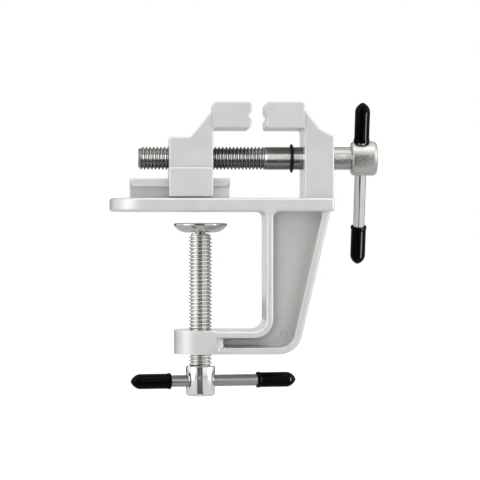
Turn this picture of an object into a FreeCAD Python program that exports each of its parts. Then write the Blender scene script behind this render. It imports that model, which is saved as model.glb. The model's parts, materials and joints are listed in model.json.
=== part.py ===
"""A small clamp-on bench vise, in millimetres.

The origin is on the clamp spindle's axis, in the vise's middle plane, at the
underside of the platform, which rests on the bench. +X runs towards the
handle of the jaw screw, +Y to the back and +Z up.
"""
import FreeCAD, Part
import Sketcher
import math
import operator
import os

SIZES = {
    # platform
    "platform_left": 31.3,
    "platform_right": 45.2,
    "platform_width": 28,
    "platform_thickness": 4.5,
    "platform_end_radius": 13.6,
    "platform_edge_radius": 0.8,
    "edge_radius": 1,
    "rim_radius": 0.5,
    "leg_rim_radius": 0.9,
    # rail that guides the moving jaw
    "rail_past_jaw_left": 13.4,
    "rail_past_jaw_right": 5.8,
    "rail_neck_width": 12,
    "rail_neck_rise": 4,
    "rail_head_width": 17,
    "rail_head_rise": 2.8,
    # leg and arm below the platform
    "throat_reach": 21.9,
    "throat_height": 40.7,
    "throat_corner_radius": 3.9,
    "throat_root_radius": 2,
    "arm_rise": 8,
    "boss_left": 9,
    "boss_right": 5,
    "boss_radius": 8.5,
    "inner_flange": 2.5,
    "outer_flange": 2.4,
    "lower_flange": 2.2,
    "web_thickness": 4,
    "leg_inset": 1.3,
    "leg_slant": 12.9,
    "leg_corner_radius": 8,
    "leg_set_back": 1,
    "pocket_left": 7.3,
    "pocket_corner_radius": 2.3,
    "pocket_draft": 0.6,
    "pocket_floor_radius": 0.4,
    # fixed jaw
    "upright_thickness": 10.1,
    "foot_radius": 1.4,
    "upright_width": 24,
    "upright_rise": 21.1,
    "shoulder_rise": 23.3,
    "shoulder_run": 5.4,
    "rib_drop": 2.6,
    # both jaws
    "jaw_rise": 32.8,
    "jaw_block_rise": 9,
    "jaw_block_length": 13,
    "jaw_width": 26,
    "jaw_gap": 5.1,
    "notch_drop": 4.8,
    "notch_width": 3,
    "notch_depth": 1,
    # moving jaw
    "carriage_length": 15,
    "carriage_clearance": 0.4,
    "carriage_shoulder_rise": 20.8,
    "carriage_shoulder_run": 7.3,
    "skirt_rise": 10.4,
    "skirt_width": 26,
    "carriage_corner_radius": 0.6,
    "slot_clearance": 0.3,
    # screws
    "screw_diameter": 7.8,
    "thread_depth": 0.7,
    "running_clearance": 0.08,
    "jaw_screw_rise": 13.85,
    "jaw_screw_past_jaw": 10.4,
    "tenon_diameter": 6,
    "tenon_end": 1.5,
    "ring_gap": 3.2,
    "ring_width": 1,
    "ring_rise": 1.42,
    "ring_groove_depth": 0.45,
    "ring_split": 1.2,
    "jaw_hub_gap": 6.7,
    "jaw_hub_length": 9,
    "jaw_hub_diameter": 11.8,
    "jaw_hub_inner_round": 1.2,
    "jaw_hub_outer_round": 1.5,
    "jaw_bar_inset": 3.6,
    # clamp screw and pad
    "pad_drop": 4,
    "pad_height": 3.2,
    "pad_diameter": 18.3,
    "pad_rim": 0.9,
    "pad_bowl_diameter": 13.6,
    "pad_bowl_radius": 5,
    "button_diameter": 4.8,
    "button_rise": 1.2,
    "button_cover": 1,
    "neck_diameter": 3.4,
    "clamp_thread_drop": 7.6,
    "clamp_hub_gap": 4.4,
    "clamp_hub_length": 10.3,
    "clamp_hub_diameter": 10,
    "clamp_hub_round": 0.9,
    # handles
    "bar_diameter": 4,
    "bar_bevel": 0.4,
    "cross_hole_bevel": 0.5,
    "handle_length": 59,
    "cap_length": 14,
    "cap_skin": 0.6,
    "cap_flare": 0.2,
    "cap_wall": 2,
    "cap_dome": 1.45,
    "cap_dome_radius": 2.3,
    "seat_clearance": 0.25,
    "jaw_handle_tilt": 20,
    "clamp_handle_turn": 13.25,
    "clamp_handle_offset": 4.8,
}

document = FreeCAD.newDocument("BenchVise")
sheet = document.addObject("Spreadsheet::Sheet", "Sizes")
for row, (alias, number) in enumerate(SIZES.items(), start=1):
    sheet.set(f"A{row}", alias)
    sheet.set(f"B{row}", str(number))
    sheet.setAlias(f"B{row}", alias)
document.recompute()


class Sum:
    """An expression on the sheet, written with ordinary arithmetic, and its first value."""

    def __init__(self, text, value):
        self.text = text
        self.value = value

    def _join(self, other, sign, combine, swapped=False):
        first, second = self, other if isinstance(other, Sum) else Sum(str(other), other)
        if swapped:
            first, second = second, first
        text = f"({first.text} {sign} {second.text})"
        return Sum(text, combine(first.value, second.value))

    def __add__(self, other):
        return self._join(other, "+", operator.add)

    def __radd__(self, other):
        return self._join(other, "+", operator.add, True)

    def __sub__(self, other):
        return self._join(other, "-", operator.sub)

    def __rsub__(self, other):
        return self._join(other, "-", operator.sub, True)

    def __mul__(self, other):
        return self._join(other, "*", operator.mul)

    def __rmul__(self, other):
        return self._join(other, "*", operator.mul, True)

    def __truediv__(self, other):
        return self._join(other, "/", operator.truediv)

    def __neg__(self):
        return ZERO - self

    def __float__(self):
        return float(self.value)


def size(alias):
    """A driving size of the sheet."""
    return Sum(f"Sizes.{alias}", SIZES[alias])


def function(name, angle):
    """The tan, cos or sin of an expression in degrees."""
    return Sum(f"{name}({angle.text})", getattr(math, name)(math.radians(angle.value)))


ZERO = Sum("0", 0)


# ---- ways of making ----

def new_body(label):
    """An empty body; its label is the name of the piece."""
    body = document.addObject("PartDesign::Body", label)
    body.Label = label
    return body


def origin_plane(body, role):
    for feature in body.Origin.OriginFeatures:
        if feature.Role == role:
            return feature
    raise ValueError(role)


def bind(item, path, amount):
    """Tie a property to the sheet, with its first value set at once."""
    item.setExpression(path, amount.text if isinstance(amount, Sum) else str(amount))


def corner_geometry(before, point, after, radius):
    """Tangent points and centre of the arc that rounds one corner of an outline."""
    back = (before - point).normalize()
    ahead = (after - point).normalize()
    half = back.getAngle(ahead) / 2
    run = radius / math.tan(half)
    centre = point + (back + ahead).normalize() * (radius / math.sin(half))
    return point + back * run, point + ahead * run, centre


def outline(body, name, plane, corners, offset=None):
    """A closed sketch on an origin plane, from (across, up[, radius]) corners."""
    sketch = body.newObject("Sketcher::SketchObject", name)
    sketch.AttachmentSupport = (origin_plane(body, plane), [""])
    sketch.MapMode = "FlatFace"
    if offset is not None:
        bind(sketch, "AttachmentOffset.Base.z", offset)
    points = [FreeCAD.Vector(float(c[0]), float(c[1]), 0) for c in corners]
    count = len(points)
    starts, ends, centres = list(points), list(points), [None] * count
    for i, corner in enumerate(corners):
        if len(corner) > 2:
            before, after = points[i - 1], points[(i + 1) % count]
            ends[i], starts[i], centres[i] = corner_geometry(
                before, points[i], after, float(corner[2])
            )
    lines = []
    for i in range(count):
        line = Part.LineSegment(starts[i], ends[(i + 1) % count])
        lines.append(sketch.addGeometry(line, False))
    for i, corner in enumerate(corners):
        held = (lines[i], 1)
        if centres[i] is None:
            join = Sketcher.Constraint("Coincident", lines[i - 1], 2, lines[i], 1)
            sketch.addConstraint(join)
        else:
            held = round_corner(sketch, lines[i - 1], lines[i], ends[i], starts[i], centres[i],
                                points[i], corner[2])
        for direction, amount in zip(("DistanceX", "DistanceY"), corner[:2]):
            place = Sketcher.Constraint(direction, -1, 1, held[0], held[1], float(amount))
            index = sketch.addConstraint(place)
            bind(sketch, f"Constraints[{index}]", amount)
    return sketch


def round_corner(sketch, line_in, line_out, first, last, centre, point, radius):
    """Round one corner: a tangent arc, and a construction point at the sharp corner."""
    turn = (point - first).cross(last - point).z
    head, tail = (first, last) if turn > 0 else (last, first)
    angles = [math.atan2(p.y - centre.y, p.x - centre.x) for p in (head, tail)]
    circle = Part.Circle(centre, FreeCAD.Vector(0, 0, 1), float(radius))
    arc = sketch.addGeometry(Part.ArcOfCircle(circle, angles[0], angles[1]), False)
    near, far = (1, 2) if turn > 0 else (2, 1)
    corner = sketch.addGeometry(Part.Point(point), True)
    sketch.addConstraint(Sketcher.Constraint("Tangent", line_in, 2, arc, near))
    sketch.addConstraint(Sketcher.Constraint("Tangent", arc, far, line_out, 1))
    index = sketch.addConstraint(Sketcher.Constraint("Radius", arc, float(radius)))
    bind(sketch, f"Constraints[{index}]", radius)
    sketch.addConstraint(Sketcher.Constraint("PointOnObject", corner, 1, line_in))
    sketch.addConstraint(Sketcher.Constraint("PointOnObject", corner, 1, line_out))
    return corner, 1


def pad(body, name, plane, corners, length, offset=None, symmetric=False):
    """An outline pushed out by a length, or by half of it to both sides."""
    feature = body.newObject("PartDesign::Pad", name)
    feature.Profile = outline(body, name + "_outline", plane, corners, offset)
    feature.SideType = "Symmetric" if symmetric else "One side"
    bind(feature, "Length", length)
    document.recompute()
    return feature


def pocket(body, name, plane, corners, length, offset=None, symmetric=False, reverse=False):
    """An outline cut in by a length; it has to take something away."""
    before = body.Shape.Volume
    feature = body.newObject("PartDesign::Pocket", name)
    feature.Profile = outline(body, name + "_outline", plane, corners, offset)
    feature.SideType = "Symmetric" if symmetric else "One side"
    feature.Reversed = reverse
    bind(feature, "Length", length)
    document.recompute()
    if not body.Shape.Volume < before:
        raise ValueError(f"{name} cuts nothing")
    return feature


def lofted_pocket(body, name, plane, mouth, mouth_offset, floor, floor_offset):
    """A hollow with drafted walls, from the outline of its mouth to that of its floor."""
    before = body.Shape.Volume
    outlines = [
        outline(body, name + "_mouth", plane, mouth, mouth_offset),
        outline(body, name + "_floor", plane, floor, floor_offset),
    ]
    feature = body.newObject("PartDesign::SubtractiveLoft", name)
    feature.Profile = outlines[0]
    feature.Sections = [outlines[1]]
    feature.Ruled = True
    document.recompute()
    if not body.Shape.Volume < before:
        raise ValueError(f"{name} cuts nothing")
    return feature


def turned(body, name, corners, axis="V_Axis", at=None, lean=None, groove=False):
    """A profile turned about a sketch axis, the upright (V_Axis) or the lying (H_Axis) one.

    at moves the sketch to (X, Z) in the middle plane, and lean turns it there about one
    of its own axes.
    """
    kind = "PartDesign::Groove" if groove else "PartDesign::Revolution"
    before = body.Shape.Volume if groove else 0
    sketch = outline(body, name + "_profile", "XZ_Plane", corners)
    if lean is not None:
        turn = FreeCAD.Rotation(lean[0], float(lean[1]))
        sketch.AttachmentOffset = FreeCAD.Placement(FreeCAD.Vector(), turn)
        bind(sketch, "AttachmentOffset.Rotation.Angle", lean[1])
    if at is not None:
        bind(sketch, "AttachmentOffset.Base.x", at[0])
        bind(sketch, "AttachmentOffset.Base.y", at[1])
    feature = body.newObject(kind, name)
    feature.Profile = sketch
    feature.ReferenceAxis = (sketch, [axis])
    feature.Angle = 360
    document.recompute()
    if groove and not body.Shape.Volume < before:
        raise ValueError(f"{name} cuts nothing")
    return feature


def hole_along(low, high, lying=False):
    """The profile of a screw's hole, for a lying or an upright axis."""
    radius = size("screw_diameter") / 2 + size("running_clearance")
    upright = [(ZERO, low), (radius, low), (radius, high), (ZERO, high)]
    return [(corner[1], corner[0]) for corner in upright] if lying else upright


def block(low_across, high_across, low_up, high_up, radius=None):
    """The four corners of a rectangle, all rounded where a radius is given."""
    corners = [
        (low_across, low_up),
        (high_across, low_up),
        (high_across, high_up),
        (low_across, high_up),
    ]
    if radius is None:
        return corners
    return [corner + (radius,) for corner in corners]


def is_near(first, second):
    return abs(first - second) < 0.01


def round_edges(body, name, radius, chosen):
    """Round the edges of a body whose middle point passes a test."""
    base = body.Tip
    names = []
    for number, edge in enumerate(body.Shape.Edges, start=1):
        middle = edge.valueAt((edge.FirstParameter + edge.LastParameter) / 2)
        if chosen(middle):
            names.append(f"Edge{number}")
    if not names:
        raise ValueError(f"{name} finds no edge")
    feature = body.newObject("PartDesign::Fillet", name)
    feature.Base = (base, names)
    bind(feature, "Radius", radius)
    document.recompute()
    return feature


def round_rims(body, name, half_width, radius="rim_radius"):
    """Round the front and rear outlines of what was just pushed out, at both its faces."""
    return round_edges(body, name, size(radius),
                       lambda middle: is_near(abs(middle.y), float(half_width)))


def fuse(body, name, tools):
    """Join other bodies to a body."""
    feature = body.newObject("PartDesign::Boolean", name)
    feature.Type = "Fuse"
    feature.addObjects(tools)
    document.recompute()
    return feature


# ---- the frame casting: platform, rail, leg, arm and fixed jaw ----

platform_top = size("platform_thickness")
jaw_top = platform_top + size("jaw_rise")
jaw_bottom = jaw_top - size("jaw_block_rise")
jaw_screw_height = platform_top + size("jaw_screw_rise")
rail_neck_top = platform_top + size("rail_neck_rise")
rail_top = rail_neck_top + size("rail_head_rise")
upright_left = size("platform_right") - size("upright_thickness")
fixed_face = upright_left - size("jaw_block_length")
moving_face = fixed_face - size("jaw_gap")
carriage_right = moving_face - size("jaw_block_length")
carriage_left = carriage_right - size("carriage_length")
arm_bottom = -size("throat_height") - size("arm_rise")
leg_top = size("platform_right") - size("leg_inset")
clamp_hub_top = arm_bottom - size("clamp_hub_gap")


def leg_outer(drop, inwards=ZERO):
    """X of the slanted back of the leg, at a depth below the platform."""
    slant = size("leg_slant")
    return leg_top - drop * function("tan", slant) - inwards / function("cos", slant)


def jaw_notch(face, towards):
    """The corners of the V notch along a jaw face, cut in the given direction."""
    middle = jaw_top - size("notch_drop")
    mouth = 2 * size("notch_depth")
    half = size("notch_width") / 2
    return [
        (face - towards * (mouth - size("notch_depth")), middle - 2 * half),
        (face + towards * size("notch_depth"), middle),
        (face - towards * (mouth - size("notch_depth")), middle + 2 * half),
    ]


def platform_and_rail(body):
    """The platform with its round end, and the T-shaped rail on it."""
    half_width = size("platform_width") / 2
    ends = size("platform_end_radius")
    edge = size("edge_radius")
    plan = [
        (-size("platform_left"), -half_width, ends),
        (size("platform_right"), -half_width, edge),
        (size("platform_right"), half_width, edge),
        (-size("platform_left"), half_width, ends),
    ]
    pad(body, "platform", "XY_Plane", plan, platform_top)
    round_edges(body, "platform_edges", size("platform_edge_radius"),
                lambda middle: is_near(middle.z, 0) or is_near(middle.z, float(platform_top)))

    neck_half = size("rail_neck_width") / 2
    head_half = size("rail_head_width") / 2
    rail_left = carriage_left - size("rail_past_jaw_left")
    rail_right = carriage_right + size("rail_past_jaw_right")
    rail = [
        (-neck_half, platform_top / 2),
        (neck_half, platform_top / 2),
        (neck_half, rail_neck_top),
        (head_half, rail_neck_top),
        (head_half, rail_top),
        (-head_half, rail_top),
        (-head_half, rail_neck_top),
        (-neck_half, rail_neck_top),
    ]
    pad(body, "rail", "YZ_Plane", rail, rail_right - rail_left, offset=rail_left)
    ends = (float(rail_left), float(rail_right))
    round_edges(body, "rail_corners", edge,
                lambda middle: any(is_near(middle.x, end) for end in ends)
                and is_near(abs(middle.y), float(head_half)))
    round_edges(body, "rail_edges", size("rim_radius"),
                lambda middle: is_near(middle.z, float(rail_top)))


def clamp_frame():
    """The C below the platform: its outside, its flanges and the pockets beside its web."""
    body = new_body("clamp_frame")
    half_width = size("platform_width") / 2
    rim_face = half_width - size("leg_set_back")
    overlap = platform_top / 2
    edge = size("edge_radius")
    corner = size("leg_corner_radius")
    root = size("throat_root_radius")
    reach = size("throat_reach")
    floor = size("throat_height")
    depth = size("throat_height") + size("arm_rise")
    outside = [
        (reach, overlap),
        (reach, -floor, size("throat_corner_radius")),
        (ZERO, -floor),
        (ZERO, arm_bottom),
        (leg_outer(depth), arm_bottom, corner),
        (leg_outer(ZERO), ZERO),
        (leg_outer(ZERO), overlap),
    ]
    pad(body, "leg_and_arm", "XZ_Plane", outside, 2 * rim_face, symmetric=True)
    round_rims(body, "leg_rims", rim_face, "leg_rim_radius")
    inner = size("inner_flange")
    small = size("pocket_corner_radius")
    flange = [
        (reach - 2 * root, overlap),
        (reach - 2 * root, ZERO),
        (reach, ZERO, root),
        (reach, -floor, size("throat_corner_radius")),
        (ZERO, -floor),
        (ZERO, -floor - inner),
        (reach + inner, -floor - inner, size("throat_corner_radius") + inner),
        (reach + inner, ZERO, small),
        (reach + inner + 2 * small, ZERO),
        (reach + inner + 2 * small, overlap),
    ]
    pad(body, "throat_flange", "XZ_Plane", flange, size("platform_width"), symmetric=True)
    round_rims(body, "flange_rims", half_width, "leg_rim_radius")
    boss = [
        (-size("boss_left"), -half_width, size("boss_radius")),
        (size("boss_right"), -half_width),
        (size("boss_right"), half_width),
        (-size("boss_left"), half_width, size("boss_radius")),
    ]
    pad(body, "arm_boss", "XY_Plane", boss, size("arm_rise"), offset=arm_bottom)
    outer = size("outer_flange")
    lower = size("lower_flange")

    def hollow(draft):
        """The pocket between the flanges, smaller by the draft on every side."""
        inside = inner + draft
        bottom = arm_bottom + lower + draft
        back = outer + draft
        return [
            (reach + inside, -draft, small),
            (reach + inside, -floor - inside, size("throat_corner_radius") + inside),
            (size("pocket_left") + draft, -floor - inside, edge),
            (size("pocket_left") + draft, bottom, edge),
            (leg_outer(-bottom, back), bottom, corner - back),
            (leg_outer(draft, back), -draft, edge),
        ]

    web_face = size("web_thickness") / 2
    for side, sign in (("front", 1), ("rear", -1)):
        lofted_pocket(body, f"{side}_pocket", "XZ_Plane", hollow(ZERO), sign * rim_face,
                      hollow(size("pocket_draft")), sign * web_face)
    round_rims(body, "pocket_floors", web_face, "pocket_floor_radius")
    return body


def fixed_jaw():
    """The fixed jaw: upright with its rib, then the block."""
    body = new_body("fixed_jaw")
    edge = size("edge_radius")
    shoulder = upright_left + size("shoulder_run")
    behind = upright_left - 2 * edge
    foot = size("foot_radius")
    overlap = platform_top / 2
    upright = [
        (upright_left - 2 * foot, overlap),
        (size("platform_right"), overlap),
        (size("platform_right"), platform_top + size("upright_rise"), edge),
        (shoulder, platform_top + size("shoulder_rise"), edge),
        (upright_left, jaw_top - size("rib_drop")),
        (behind, jaw_top - size("rib_drop")),
        (behind, jaw_bottom),
        (upright_left, jaw_bottom, edge),
        (upright_left, platform_top, foot),
        (upright_left - 2 * foot, platform_top),
    ]
    pad(body, "upright", "XZ_Plane", upright, size("upright_width"), symmetric=True)
    round_rims(body, "upright_rims", size("upright_width") / 2)
    jaw = [
        (fixed_face, jaw_bottom, edge),
        (upright_left, jaw_bottom),
        (upright_left, jaw_top, edge),
        (fixed_face, jaw_top, edge),
    ]
    pad(body, "jaw_block", "XZ_Plane", jaw, size("jaw_width"), symmetric=True)
    round_rims(body, "jaw_rims", size("jaw_width") / 2)
    pocket(body, "jaw_notch", "XZ_Plane", jaw_notch(fixed_face, 1), size("jaw_width"),
           symmetric=True)
    return body


def frame_casting():
    body = new_body("frame_casting")
    platform_and_rail(body)
    fuse(body, "casting", [clamp_frame(), fixed_jaw()])

    # the plain hole for the jaw screw and the tapped hole for the clamp screw
    edge = size("edge_radius")
    plain = hole_along(upright_left - edge, size("platform_right") + edge, lying=True)
    turned(body, "jaw_screw_hole", plain, "H_Axis", (ZERO, jaw_screw_height), groove=True)
    tapped = hole_along(arm_bottom - edge, edge - size("throat_height"))
    turned(body, "clamp_screw_hole", tapped, groove=True)
    return body


# ---- the moving jaw ----

def jaw_head():
    """The upper part of the moving jaw: the carriage with its rib, then the block."""
    body = new_body("jaw_head")
    edge = size("edge_radius")
    left, right = carriage_left, carriage_right
    step = platform_top + size("skirt_rise")
    shoulder = platform_top + size("carriage_shoulder_rise")
    carriage = [
        (left, step - 2 * edge),
        (right, step - 2 * edge),
        (right, jaw_bottom, edge),
        (right + 2 * edge, jaw_bottom),
        (right + 2 * edge, jaw_top - size("rib_drop")),
        (right, jaw_top - size("rib_drop")),
        (left + size("carriage_shoulder_run"), shoulder, 2 * edge),
        (left, shoulder, size("carriage_corner_radius")),
    ]
    pad(body, "carriage", "XZ_Plane", carriage, size("upright_width"), symmetric=True)
    round_rims(body, "carriage_rims", size("upright_width") / 2)
    jaw = [
        (right, jaw_bottom),
        (moving_face, jaw_bottom, edge),
        (moving_face, jaw_top, edge),
        (right, jaw_top, edge),
    ]
    pad(body, "jaw", "XZ_Plane", jaw, size("jaw_width"), symmetric=True)
    round_rims(body, "moving_jaw_rims", size("jaw_width") / 2)
    pocket(body, "jaw_notch_cut", "XZ_Plane", jaw_notch(moving_face, -1), size("jaw_width"),
           symmetric=True)
    return body


def moving_jaw():
    body = new_body("moving_jaw")
    edge = size("edge_radius")
    left, right = carriage_left, carriage_right
    bottom = platform_top + size("carriage_clearance")
    step = platform_top + size("skirt_rise")
    skirt = block(left, right, bottom, step, size("carriage_corner_radius"))
    pad(body, "skirt", "XZ_Plane", skirt, size("skirt_width"), symmetric=True)
    round_rims(body, "skirt_rims", size("skirt_width") / 2)
    fuse(body, "jaw_casting", [jaw_head()])

    # the slot that runs on the rail, and the tapped hole for the jaw screw
    gap = size("slot_clearance")
    neck_half = size("rail_neck_width") / 2 + gap
    head_half = size("rail_head_width") / 2 + gap
    slot = [
        (-neck_half, platform_top),
        (neck_half, platform_top),
        (neck_half, rail_neck_top - gap),
        (head_half, rail_neck_top - gap),
        (head_half, rail_top + gap),
        (-head_half, rail_top + gap),
        (-head_half, rail_neck_top - gap),
        (-neck_half, rail_neck_top - gap),
    ]
    pocket(body, "rail_slot", "YZ_Plane", slot, size("carriage_length") + 2 * edge,
           offset=left - edge, reverse=True)
    tapped = hole_along(left - edge, right + edge, lying=True)
    turned(body, "jaw_screw_thread", tapped, "H_Axis", (ZERO, jaw_screw_height),
           groove=True)
    return body


# ---- the screws, their hubs, the retaining ring and the clamp pad ----

screw_radius = size("screw_diameter") / 2
tenon_radius = size("tenon_diameter") / 2
slack = size("running_clearance")
ring_right = upright_left - size("ring_gap")
ring_left = ring_right - size("ring_width")
groove_radius = screw_radius - size("ring_groove_depth")
jaw_hub_left = size("platform_right") + size("jaw_hub_gap")
jaw_bar_across = jaw_hub_left + size("jaw_bar_inset")
clamp_bar_up = clamp_hub_top - size("clamp_hub_length") / 2
tenon_past_bar = size("bar_diameter") / 2 + size("tenon_end")

JAW_HANDLE = {
    "at": (jaw_bar_across, jaw_screw_height),
    "axis": "V_Axis",
    "lean": (FreeCAD.Vector(1, 0, 0), size("jaw_handle_tilt")),
}
CLAMP_HANDLE = {
    "at": (ZERO, clamp_bar_up),
    "axis": "H_Axis",
    "lean": (FreeCAD.Vector(0, 1, 0), size("clamp_handle_turn")),
}
ON_JAW_SCREW = {"at": (ZERO, jaw_screw_height), "axis": "H_Axis"}
ON_CLAMP_SCREW = {"at": (ZERO, ZERO), "axis": "V_Axis"}


def on_handle(handle, along, radius, *rounding):
    """A profile corner on a handle, in the order that its sketch axis asks for."""
    pair = (along, radius) if handle["axis"] == "H_Axis" else (radius, along)
    return pair + rounding


def cross_hole(body, hub_diameter, handle):
    """The hole for the handle bar, with a bevelled mouth at both ends."""
    radius = size("bar_diameter") / 2 + slack
    bevel = size("cross_hole_bevel")
    mouth = hub_diameter / 2 - bevel
    out = mouth + 4 * bevel
    shape = [
        (-out, ZERO),
        (-out, radius + 4 * bevel),
        (-mouth, radius),
        (mouth, radius),
        (out, radius + 4 * bevel),
        (out, ZERO),
    ]
    profile = [on_handle(handle, *corner) for corner in shape]
    turned(body, "cross_hole", profile, groove=True, **handle)


def jaw_screw():
    body = new_body("jaw_screw")
    bevel = size("thread_depth")
    tip = carriage_left - size("jaw_screw_past_jaw")
    profile = [
        (tip, ZERO),
        (tip, screw_radius - bevel),
        (tip + bevel, screw_radius),
        (ring_left - slack, screw_radius),
        (ring_left - slack, groove_radius),
        (ring_right + slack, groove_radius),
        (ring_right + slack, screw_radius),
        (jaw_hub_left, screw_radius),
        (jaw_hub_left, tenon_radius),
        (jaw_bar_across + tenon_past_bar, tenon_radius),
        (jaw_bar_across + tenon_past_bar, ZERO),
    ]
    turned(body, "shaft", profile, **ON_JAW_SCREW)
    cross_hole(body, size("jaw_hub_diameter"), JAW_HANDLE)
    return body


def jaw_screw_hub():
    body = new_body("jaw_screw_hub")
    radius = size("jaw_hub_diameter") / 2
    right = jaw_hub_left + size("jaw_hub_length")
    profile = [
        (jaw_hub_left, tenon_radius),
        (jaw_hub_left, radius, size("jaw_hub_inner_round")),
        (right, radius, size("jaw_hub_outer_round")),
        (right, ZERO),
        (jaw_bar_across + tenon_past_bar, ZERO),
        (jaw_bar_across + tenon_past_bar, tenon_radius),
    ]
    turned(body, "sleeve", profile, **ON_JAW_SCREW)
    cross_hole(body, size("jaw_hub_diameter"), JAW_HANDLE)
    return body


def retaining_ring():
    """A split ring that snaps in the groove of the jaw screw, inside the upright."""
    body = new_body("retaining_ring")
    outer = groove_radius + slack + size("ring_rise")
    third = size("ring_width") / 3
    profile = [
        (ring_left, groove_radius + slack, third),
        (ring_right, groove_radius + slack, third),
        (ring_right, outer, third),
        (ring_left, outer, third),
    ]
    turned(body, "wire", profile, **ON_JAW_SCREW)
    split = block(ring_left - third, ring_right + third, ZERO, outer + third)
    pocket(body, "split", "XY_Plane", split, size("ring_split"),
           offset=jaw_screw_height, symmetric=True)
    return body


def clamp_screw():
    """The clamp screw: a button held in the pad, a neck, the thread and a tenon."""
    body = new_body("clamp_screw")
    bevel = size("thread_depth")
    button_top = -size("pad_drop") - size("button_cover")
    button_bottom = button_top - size("button_rise")
    thread_top = -size("clamp_thread_drop")
    profile = [
        (ZERO, button_top),
        (size("button_diameter") / 2, button_top, slack),
        (size("button_diameter") / 2, button_bottom, slack),
        (size("neck_diameter") / 2, button_bottom),
        (size("neck_diameter") / 2, thread_top),
        (screw_radius - bevel, thread_top),
        (screw_radius, thread_top - bevel),
        (screw_radius, clamp_hub_top),
        (tenon_radius, clamp_hub_top),
        (tenon_radius, clamp_bar_up - tenon_past_bar),
        (ZERO, clamp_bar_up - tenon_past_bar),
    ]
    turned(body, "shaft", profile, **ON_CLAMP_SCREW)
    cross_hole(body, size("clamp_hub_diameter"), CLAMP_HANDLE)
    return body


def clamp_screw_hub():
    body = new_body("clamp_screw_hub")
    radius = size("clamp_hub_diameter") / 2
    top = clamp_hub_top
    bottom = top - size("clamp_hub_length")
    profile = [
        (tenon_radius, top),
        (radius, top, size("clamp_hub_round") / 2),
        (radius, bottom, size("clamp_hub_round")),
        (ZERO, bottom),
        (ZERO, clamp_bar_up - tenon_past_bar),
        (tenon_radius, clamp_bar_up - tenon_past_bar),
    ]
    turned(body, "sleeve", profile, **ON_CLAMP_SCREW)
    cross_hole(body, size("clamp_hub_diameter"), CLAMP_HANDLE)
    return body


def clamp_pad():
    """The dished pad that presses on the bench from below, with the button's socket."""
    body = new_body("clamp_pad")
    top = -size("pad_drop")
    bottom = top - size("pad_height")
    radius = size("pad_diameter") / 2
    rim = size("pad_rim")
    button_top = top - size("button_cover")
    button_bottom = button_top - size("button_rise")
    socket = size("button_diameter") / 2 + slack
    mouth = size("neck_diameter") / 2 + slack
    profile = [
        (ZERO, top),
        (radius, top, rim / 3),
        (radius, top - rim, rim / 3),
        (size("pad_bowl_diameter") / 2, bottom, size("pad_bowl_radius")),
        (mouth, bottom),
        (mouth, button_bottom - slack),
        (socket, button_bottom - slack),
        (socket, button_top + slack),
        (ZERO, button_top + slack),
    ]
    turned(body, "dish", profile, **ON_CLAMP_SCREW)
    return body


# ---- the two handles: a bar with a cap on each end ----

def handle_cap(label, handle, tip, outwards):
    """A cap pushed on the bar's end, with a flared rim and a domed tip."""
    body = new_body(label)
    bore = size("bar_diameter") / 2
    radius = bore + size("cap_skin")
    flare = size("cap_flare")
    rim = radius + flare
    dome = size("cap_dome")
    rounding = size("cap_dome_radius")
    shape = [
        (size("cap_length"), bore),
        (size("cap_length"), rim, flare),
        (size("cap_length") - 2 * flare, rim, flare),
        (size("cap_length") - 5 * flare, radius),
        (dome, radius, rounding),
        (ZERO, radius - dome, rounding),
        (ZERO, ZERO),
        (size("cap_wall"), ZERO),
        (size("cap_wall"), bore),
    ]
    profile = [on_handle(handle, tip - outwards * corner[0], *corner[1:]) for corner in shape]
    turned(body, "cap", profile, **handle)
    return body


def handle_pieces(name, handle, top, cap_names):
    """A bar with its two caps; top is the far end of the first cap along the bar."""
    body = new_body(f"{name}_bar")
    radius = size("bar_diameter") / 2
    bevel = size("bar_bevel")
    end = top - size("cap_wall")
    start = top - size("handle_length") + size("cap_wall")
    shape = [
        (start, ZERO),
        (start, radius - bevel),
        (start + bevel, radius),
        (end - bevel, radius),
        (end, radius - bevel),
        (end, ZERO),
    ]
    profile = [on_handle(handle, *corner) for corner in shape]
    turned(body, "bar", profile, **handle)
    far = handle_cap(f"{name}_cap_{cap_names[0]}", handle, top, 1)
    near = handle_cap(f"{name}_cap_{cap_names[1]}", handle, top - size("handle_length"), -1)
    return [body, far, near]


# ---- the whole vise ----

def checked(pieces):
    """Stop if any object has failed, or a piece has no sound solid."""
    document.recompute()
    for item in document.Objects:
        if "Invalid" in item.State or "Error" in item.State:
            raise ValueError(f"{item.Label} did not build: {item.State}")
    for piece in pieces:
        if piece.Shape.isNull() or not piece.Shape.isValid() or not piece.Shape.Solids:
            raise ValueError(f"{piece.Label} has no valid solid")
    return pieces


def main():
    jaw_handle_top = size("jaw_hub_diameter") / 2 + size("seat_clearance") + size("cap_length")
    clamp_handle_top = size("clamp_handle_offset") + size("handle_length") / 2
    pieces = [
        frame_casting(),
        moving_jaw(),
        jaw_screw(),
        jaw_screw_hub(),
        retaining_ring(),
        clamp_screw(),
        clamp_screw_hub(),
        clamp_pad(),
    ]
    pieces += handle_pieces("jaw_handle", JAW_HANDLE, jaw_handle_top, ("top", "bottom"))
    pieces += handle_pieces("clamp_handle", CLAMP_HANDLE, clamp_handle_top, ("right", "left"))
    os.makedirs("parts", exist_ok=True)
    for piece in checked(pieces):
        piece.Shape.exportStep(f"parts/{piece.Label}.step")
        box = piece.Shape.BoundBox
        print(f"{piece.Label}: {piece.Shape.Volume:.1f} mm3, X {box.XMin:.2f} to {box.XMax:.2f},"
              f" Y {box.YMin:.2f} to {box.YMax:.2f}, Z {box.ZMin:.2f} to {box.ZMax:.2f}")


main()
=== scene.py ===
"""Looks of a small clamp-on bench vise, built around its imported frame.

Lengths are in metres: MM turns millimetres into them. Every piece is made in
place, in the frame's own coordinates, so its object stays at the origin.
"""
import json
import math

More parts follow.
